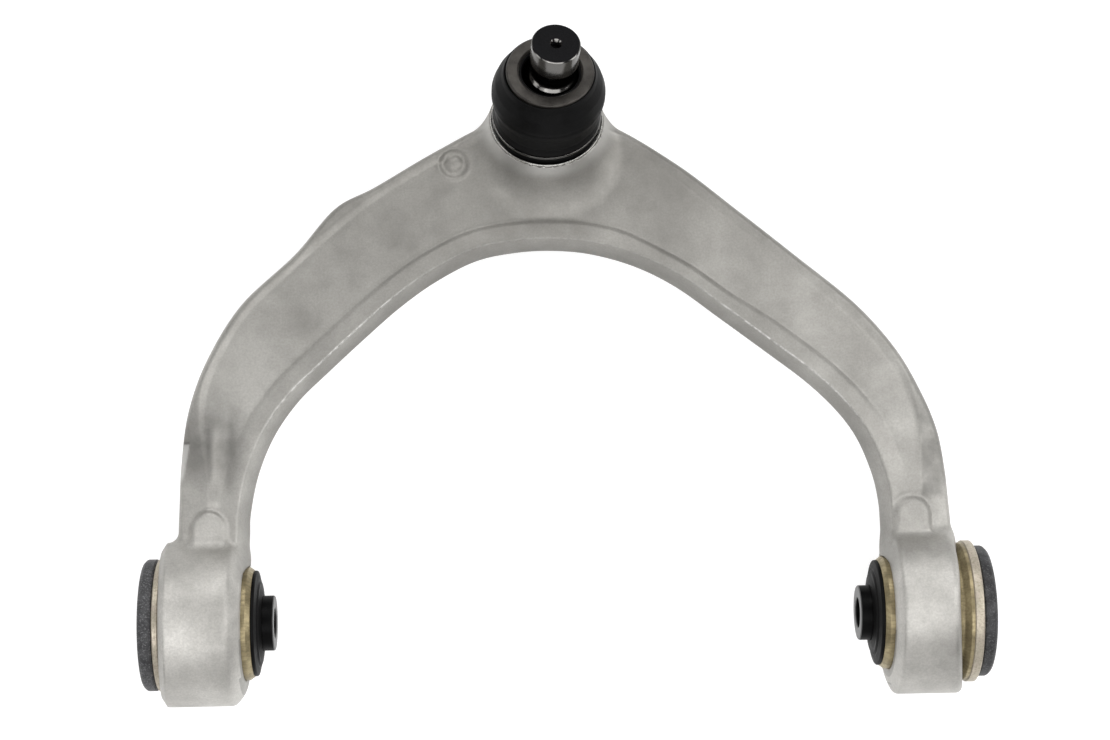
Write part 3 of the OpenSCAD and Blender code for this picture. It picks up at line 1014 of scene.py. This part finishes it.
def make_outer_sleeve(side, node):
    """The pressed tube with its flange: flat on the left bush, flared on the right one."""
    inboard_end = [
        (21.3, 129.9, 0.2),
        (22.0, 129.85, 0.5),
        (23.45, 131.8, 0.9),
    ]
    if side < 0:
        flange = [
            (23.45, 166.4, 0.1),
            (26.9, 166.4, 0.3),
            (27.4, 167.0, 0.3),
            (27.4, 168.8, 0.3),
            (27.0, 169.2, 0.2),
        ]
    else:
        flange = [
            (23.45, 157.5, 0.2),
            (25.2, 158.2, 0.6),
            (25.9, 161.8, 1.2),
            (28.6, 164.0, 0.8),
            (28.75, 165.3, 0.15),
            (29.45, 165.6, 0.3),
            (29.45, 168.8, 0.4),
            (28.9, 169.2, 0.2),
        ]
    outline = rounded(inboard_end + flange + [(21.3, 169.2, 0.2)])
    piece = lathe(node + "_shell", outline, on_bush(side), [zinc, pale_zinc], flange_rim)
    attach(piece, "arm")
    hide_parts(node)


def make_bush_rubber(side, node):
    """The rubber between the sleeves, with its moulded steps at the inboard end."""
    outline = rounded(
        [
            (11.45, 166.4, 0.3),
            (11.45, 126.35, 0.2),
            (12.6, 126.3, 0.6),
            (15.2, 127.1, 1.0),
            (17.0, 127.1, 0.5),
            (17.8, 127.9, 0.3),
            (18.6, 127.7, 0.4),
            (20.2, 128.2, 0.5),
            (21.9, 128.5, 1.1),
            (21.85, 129.75, 0.1),
            (21.2, 129.8, 0.1),
            (21.2, 166.4, 0.4),
        ]
    )
    piece = lathe(node + "_moulding", outline, on_bush(side), [rubber])
    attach(piece, "arm")
    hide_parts(node)


def cut_end(radius, height):
    """1 on the two end faces of an inner sleeve."""
    return int((height < 121.75 or height > 175.6) and radius > 6.3)


def make_inner_sleeve(side, node):
    """The plain tube for the bracket's bolt."""
    outline = rounded(
        [
            (6.25, 121.9, 0.1),
            (6.7, 121.5, 0.1),
            (11.0, 121.5, 0.1),
            (11.4, 121.9, 0.15),
            (11.4, 175.2, 0.3),
            (10.5, 176.0, 0.2),
            (6.7, 176.0, 0.1),
            (6.25, 175.6, 0.1),
        ]
    )
    piece = lathe(node + "_tube", outline, on_bush(side), [sleeve_steel, cut_steel], cut_end)
    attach(piece, SLEEVE_BODY[side])
    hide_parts(node)


def make_stop_ring(side, node):
    """The rubber ring outside the flange."""
    outline = rounded(
        [
            (11.45, 169.5, 0.2),
            (26.5, 169.5, 0.3),
            (27.2, 170.3, 0.5),
            (27.2, 173.8, 1.3),
            (25.8, 175.2, 1.2),
            (22.4, 175.2, 0.4),
            (22.2, 173.9, 0.1),
            (11.45, 173.9, 0.2),
        ]
    )
    piece = lathe(node + "_moulding", outline, on_bush(side), [stop_rubber[side]])
    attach(piece, SLEEVE_BODY[side])
    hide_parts(node)


def make_stop_plate(side, node):
    """The steel washer sunk in the back of the stop ring."""
    outline = rounded(
        [
            (11.45, 173.95, 0.1),
            (21.9, 173.95, 0.2),
            (21.95, 175.2, 0.4),
            (19.5, 175.4, 0.6),
            (18.6, 174.9, 0.5),
            (14.4, 174.9, 0.5),
            (13.5, 175.4, 0.4),
            (11.45, 175.4, 0.2),
        ]
    )
    piece = lathe(node + "_washer", outline, on_bush(side), [plate_steel])
    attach(piece, SLEEVE_BODY[side])
    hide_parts(node)


for side, word in ((-1, "left"), (1, "right")):
    make_outer_sleeve(side, word + "_outer_sleeve")
    make_bush_rubber(side, word + "_bush_rubber")
    make_inner_sleeve(side, word + "_inner_sleeve")
    make_stop_ring(side, word + "_stop_ring")
    make_stop_plate(side, word + "_stop_plate")


# ---------------------------------------------------------------- ball joint

def boot_outline():
    """The boot's section as (radius, height): up its outside, then down its inside."""
    return rounded(
        [
            (22.1, 9.15, 0.3),
            (22.25, 13.6, 0.3),
            (21.9, 14.2, 0.2),
            (21.9, 15.8, 0.2),
            (22.35, 16.3, 0.5),
            (22.2, 18.2, 0.8),
            (21.85, 19.6, 0.8),
            (22.1, 21.2, 1.0),
            (22.3, 23.6, 3.0),
            (22.6, 26.0, 3.0),
            (23.45, 29.4, 4.0),
            (23.45, 32.6, 5.0),
            (22.0, 37.4, 5.0),
            (19.6, 41.6, 2.0),
            (18.8, 43.9, 0.5),
            (18.3, 44.0, 0.2),
            (18.25, 42.1, 0.2),
            (13.3, 41.8, 0.3),
            (13.3, 39.4, 0.4),
            (17.0, 38.6, 3.0),
            (20.2, 34.0, 5.0),
            (20.6, 30.0, 4.0),
            (19.4, 25.0, 3.0),
            (19.2, 18.0, 1.0),
            (18.7, 9.15, 0.3),
        ],
        steps=5,
    )


# Height where the boot's two skins meet, and how far each runs past it
BOOT_SPLIT = 31
BOOT_OVERLAP = 0.4

# The boot leans over to meet its leaning steel ring
BOOT_SHEAR = Matrix(((1, 0, 0.027, -0.24), (0, 1, 0, 0), (0, 0, 1, 0), (0, 0, 0, 1)))


def outline_part(outline, height, above):
    """The part of a closed outline above or below a height, closed across the cut."""
    part = []
    for k, (r, s) in enumerate(outline):
        before_r, before_s = outline[k - 1]
        if (before_s > height) != (s > height):
            share = (height - before_s) / (s - before_s)
            part.append((before_r + share * (r - before_r), height))
        if (s > height) == above:
            part.append((r, s))
    return part


def make_boot():
    """The boot as two skins that overlap at the bulge."""
    whole = boot_outline()
    lower = outline_part(whole, BOOT_SPLIT + BOOT_OVERLAP, above=False)
    upper = outline_part(whole, BOOT_SPLIT - BOOT_OVERLAP, above=True)
    for name, outline, bodies, low, high in (
        ("boot_lower", lower, ("arm", "boot_body"), 14, 29.5),
        ("boot_upper", upper, ("boot_body", "boot_top"), 31.5, 41),
    ):
        piece = lathe(name, outline, on_ball() @ BOOT_SHEAR, [boot_rubber])
        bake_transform(piece)
        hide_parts("boot")


def make_boot_clip():
    """The spring ring that holds the boot's foot in the recess."""
    outline = rounded(
        [
            (21.95, 14.3, 0.15),
            (22.5, 14.3, 0.25),
            (22.7, 15.0, 0.5),
            (22.5, 15.7, 0.25),
            (21.95, 15.7, 0.15),
        ]
    )
    piece = lathe("boot_clip_ring", outline, on_ball(), [polished])
    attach(piece, "arm")
    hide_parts("boot_lower_clip")


def make_boot_ring():
    """The flat steel ring at the boot's top."""
    outline = rounded(
        [
            (12.7, 42.45, 0.2),
            (17.6, 42.45, 0.3),
            (18.0, 43.0, 0.3),
            (18.0, 44.8, 0.35),
            (17.5, 45.3, 0.3),
            (13.5, 45.3, 0.3),
            (12.7, 44.6, 0.3),
        ]
    )
    piece = lathe("boot_top_ring", outline, on_ball(RING_LEAN), [dull_ring])
    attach(piece, "boot_top")
    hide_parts("boot_ring")


def make_boot_seal():
    """The rubber lip that wipes the stud, inside the steel ring."""
    outline = rounded(
        [
            (11.7, 42.7, 0.1),
            (12.6, 42.6, 0.1),
            (12.6, 44.4, 0.2),
            (12.1, 44.4, 0.2),
            (11.7, 43.8, 0.2),
        ]
    )
    piece = lathe("boot_wiper", outline, on_ball(RING_LEAN), [boot_rubber])
    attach(piece, "boot_top")
    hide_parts("boot_seal")


def ball_profile(radius, neck_radius, steps=24):
    """The ball's outline from its foot up to where the neck leaves it."""
    top = math.degrees(math.asin(neck_radius / radius))
    angles = np.linspace(180, top, steps)
    return [
        (radius * math.sin(math.radians(a)), radius * math.cos(math.radians(a))) for a in angles
    ]


def blackened(radius, height):
    """1 on the pin's end face and in its drilled centre."""
    end_face = height > 62.8 and 2.4 < radius < 9.6
    drilled_centre = radius < 1.7 and height > 50
    return int(end_face or drilled_centre)


def make_stud():
    """Ball, neck, cone, seat, clamp groove, pin head, chamfer and the drilled centre."""
    upper = rounded(
        [
            (6.5, 12.8, 0.0),
            (6.5, 16.0, 2.0),
            (9.9, 29.0, 2.0),
            (9.95, 43.0, 0.4),
            (8.4, 44.5, 3.0),
            (8.0, 48.0, 3.0),
            (8.6, 51.5, 1.0),
            (9.95, 52.5, 0.3),
            (9.95, 62.5, 0.15),
            (9.55, 62.95, 0.1),
            (2.5, 62.95, 0.15),
            (1.6, 61.7, 0.2),
            (1.5, 59.6, 0.2),
            (0.0, 58.9, 0.0),
        ],
        steps=5,
    )
    outline = ball_profile(14.0, 6.5) + upper[1:]
    place = on_ball(STUD_LEAN)
    piece = lathe("stud_turning", outline, place, [polished, oxide], blackened, closed=False)
    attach(piece, "stud")
    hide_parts("ball_stud")


make_boot()
make_boot_clip()
make_boot_ring()
make_boot_seal()
make_stud()

# CAD nodes that keep their shape and get a better finish
for name, material in (
    ("bearing_shell", polymer),
    ("preload_ring", plate_steel),
    ("cover_plate", plate_steel),
):
    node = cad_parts[name]
    node.data.materials.clear()
    node.data.materials.append(material)


# ---------------------------------------------------------------- floor, light and camera

def make_floor():
    """A white floor just under the housings, which glows so that its shadows stay faint."""
    floor_z = -0.0345
    reach = 6.0
    corners = [(-reach, -reach), (reach, -reach), (reach, reach), (-reach, reach)]
    mesh = bpy.data.meshes.new("floor")
    mesh.from_pydata([(x, y, floor_z) for x, y in corners], [], [(0, 1, 2, 3)])
    finish = Finish("pale_floor", (0.45, 0.45, 0.45), 0.0, 0.9)
    haze = finish.noise(900, 2)
    finish.colour(finish.mix(haze, (0.44, 0.44, 0.44), (0.46, 0.46, 0.46)))
    finish.shader.inputs["Emission Color"].default_value = (1, 1, 1, 1)
    finish.shader.inputs["Emission Strength"].default_value = 0.74
    floor = new_object("floor", mesh, [finish.material])


def area_light(name, at, aim, size, power):
    """A rectangular light at a place, turned to face another."""
    data = bpy.data.lights.new(name, "AREA")
    data.shape = "RECTANGLE"
    data.size = size[0]
    data.size_y = size[1]
    data.energy = power
    light = bpy.data.objects.new(name, data)
    bpy.context.scene.collection.objects.link(light)
    light.location = at
    light.rotation_euler = (Vector(aim) - Vector(at)).to_track_quat("-Z", "Y").to_euler()


def make_lights():
    """The softboxes of a studio, and a faint even light from all round."""
    area_light("top_softbox", (0.0, -0.30, 0.80), (0, 0, 0), (1.0, 0.35), 4.0)
    area_light("left_overhead", (-0.42, -0.05, 0.70), (-0.12, 0.03, 0), (0.35, 0.35), 0.7)
    area_light("front_softbox", (0.0, -0.95, 0.45), (0, 0, 0), (1.3, 0.4), 2.3)
    area_light("left_softbox", (-1.0, 0.15, 0.45), (-0.1, 0.08, 0), (0.4, 0.5), 1.7)
    area_light("right_softbox", (1.0, 0.15, 0.45), (0.1, 0.08, 0), (0.4, 0.5), 2.7)
    area_light("high_right_softbox", (0.7, 0.25, 1.0), (0.1, 0.1, 0), (0.4, 0.6), 4.8)
    area_light("back_softbox", (0.0, 1.2, 0.9), (0, 0.1, 0), (1.2, 0.5), 9.0)
    area_light("back_left_softbox", (-0.6, 0.85, 0.70), (0, 0.1, 0), (0.5, 0.4), 1.1)
    world = bpy.data.worlds.new("studio")
    world.use_nodes = True
    background = world.node_tree.nodes["Background"]
    background.inputs["Color"].default_value = (1, 1, 1, 1)
    background.inputs["Strength"].default_value = 0.02
    bpy.context.scene.world = world


def make_camera():
    """The photo's camera, almost straight above the arm and rolled a little."""
    at = Vector((-27.8, 35.0, 981.0)) * MM
    aim = Vector((-3.4, 103.7, 0.0)) * MM
    roll = math.radians(0.97)
    data = bpy.data.cameras.new("camera")
    data.sensor_width = 36
    data.lens = 75.9
    data.clip_start = 0.05
    data.clip_end = 20
    camera = bpy.data.objects.new("camera", data)
    bpy.context.scene.collection.objects.link(camera)
    ahead = (aim - at).normalized()
    level = ahead.cross(Vector((0, 1, 0))).normalized()
    upright = level.cross(ahead)
    right = level * math.cos(roll) - upright * math.sin(roll)
    up = level * math.sin(roll) + upright * math.cos(roll)
    turn = Matrix((right, up, -ahead)).transposed()
    camera.matrix_world = Matrix.Translation(at) @ turn.to_4x4()
    bpy.context.scene.camera = camera


make_floor()
make_lights()
make_camera()
bpy.context.scene.view_settings.view_transform = "Standard"
